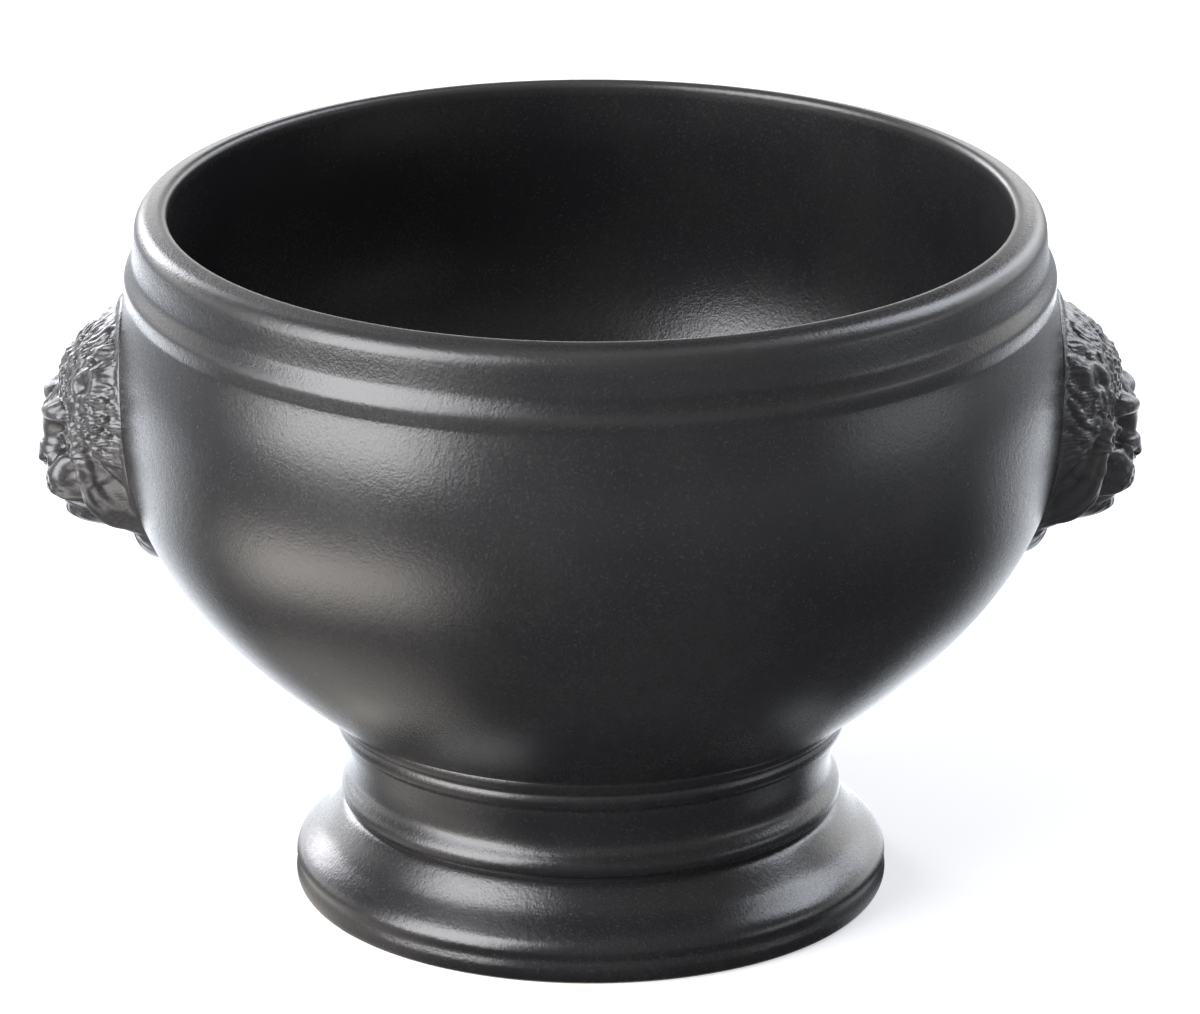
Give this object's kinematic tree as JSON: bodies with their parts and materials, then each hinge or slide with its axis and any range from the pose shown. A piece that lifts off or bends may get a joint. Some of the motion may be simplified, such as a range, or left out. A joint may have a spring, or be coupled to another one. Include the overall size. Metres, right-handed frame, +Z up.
{
  "type": "french onion soup crock",
  "caption": "Black footed ceramic soup crock: a deep round bowl with a beaded collar on a ringed pedestal foot, with a lion head on each side.",
  "frame": {"origin": "centre of the base, on the surface that the foot stands on", "axes": "+Z up along the bowl's axis, +X out through the nose of the right lion head"},
  "size_m": [0.153, 0.1316, 0.0985],
  "materials": {
    "bowl_glaze": "satin black glaze with a fine grain",
    "foot_glaze": "satin black glaze, bare on the ring it stands on",
    "lion_glaze": "satin black glaze over carved relief",
    "fired_slip": "fired dark slip, hidden in the joints"
  },
  "bodies": {
    "root": {"bowl": "bowl_glaze", "pedestal_foot": "foot_glaze", "foot_joint_slip": "fired_slip", "right_lion_head": "lion_glaze", "left_lion_head": "lion_glaze", "right_head_joint_slip": "fired_slip", "left_head_joint_slip": "fired_slip"}
  },
  "joints": []
}
